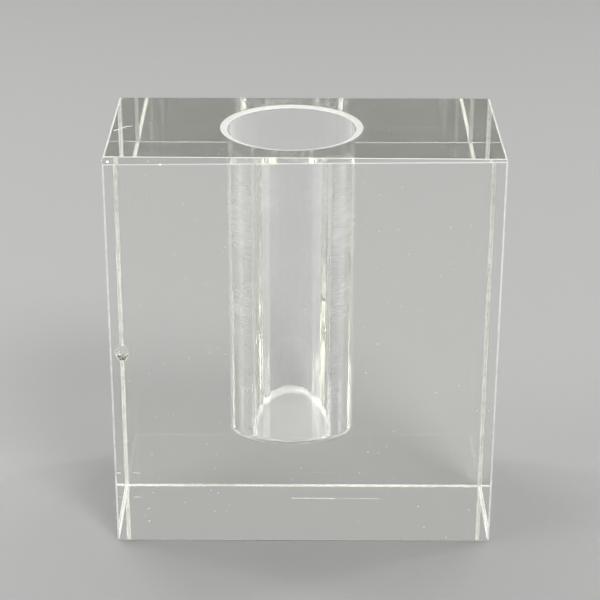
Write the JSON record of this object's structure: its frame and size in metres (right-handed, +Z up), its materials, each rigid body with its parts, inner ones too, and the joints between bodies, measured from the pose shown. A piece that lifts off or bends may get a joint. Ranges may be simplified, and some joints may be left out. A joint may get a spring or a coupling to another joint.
{
  "type": "glass block bud vase",
  "caption": "Heavy rectangular block of clear glass with a round blind bore in its top face, which holds a stem, a tube or a small display piece upright.",
  "frame": {"origin": "middle of the base, on the surface that the block stands on", "axes": "+Z up along the bore, out of its mouth; +X to the right along the block's width as seen from the front; +Y to the back, along its depth"},
  "size_m": [0.11, 0.0544, 0.1195],
  "materials": {
    "clear_glass": "polished clear glass with a faint yellow-green tint, fine polishing marks in the bore"
  },
  "bodies": {
    "root": {"glass_block": "clear_glass"}
  },
  "joints": []
}
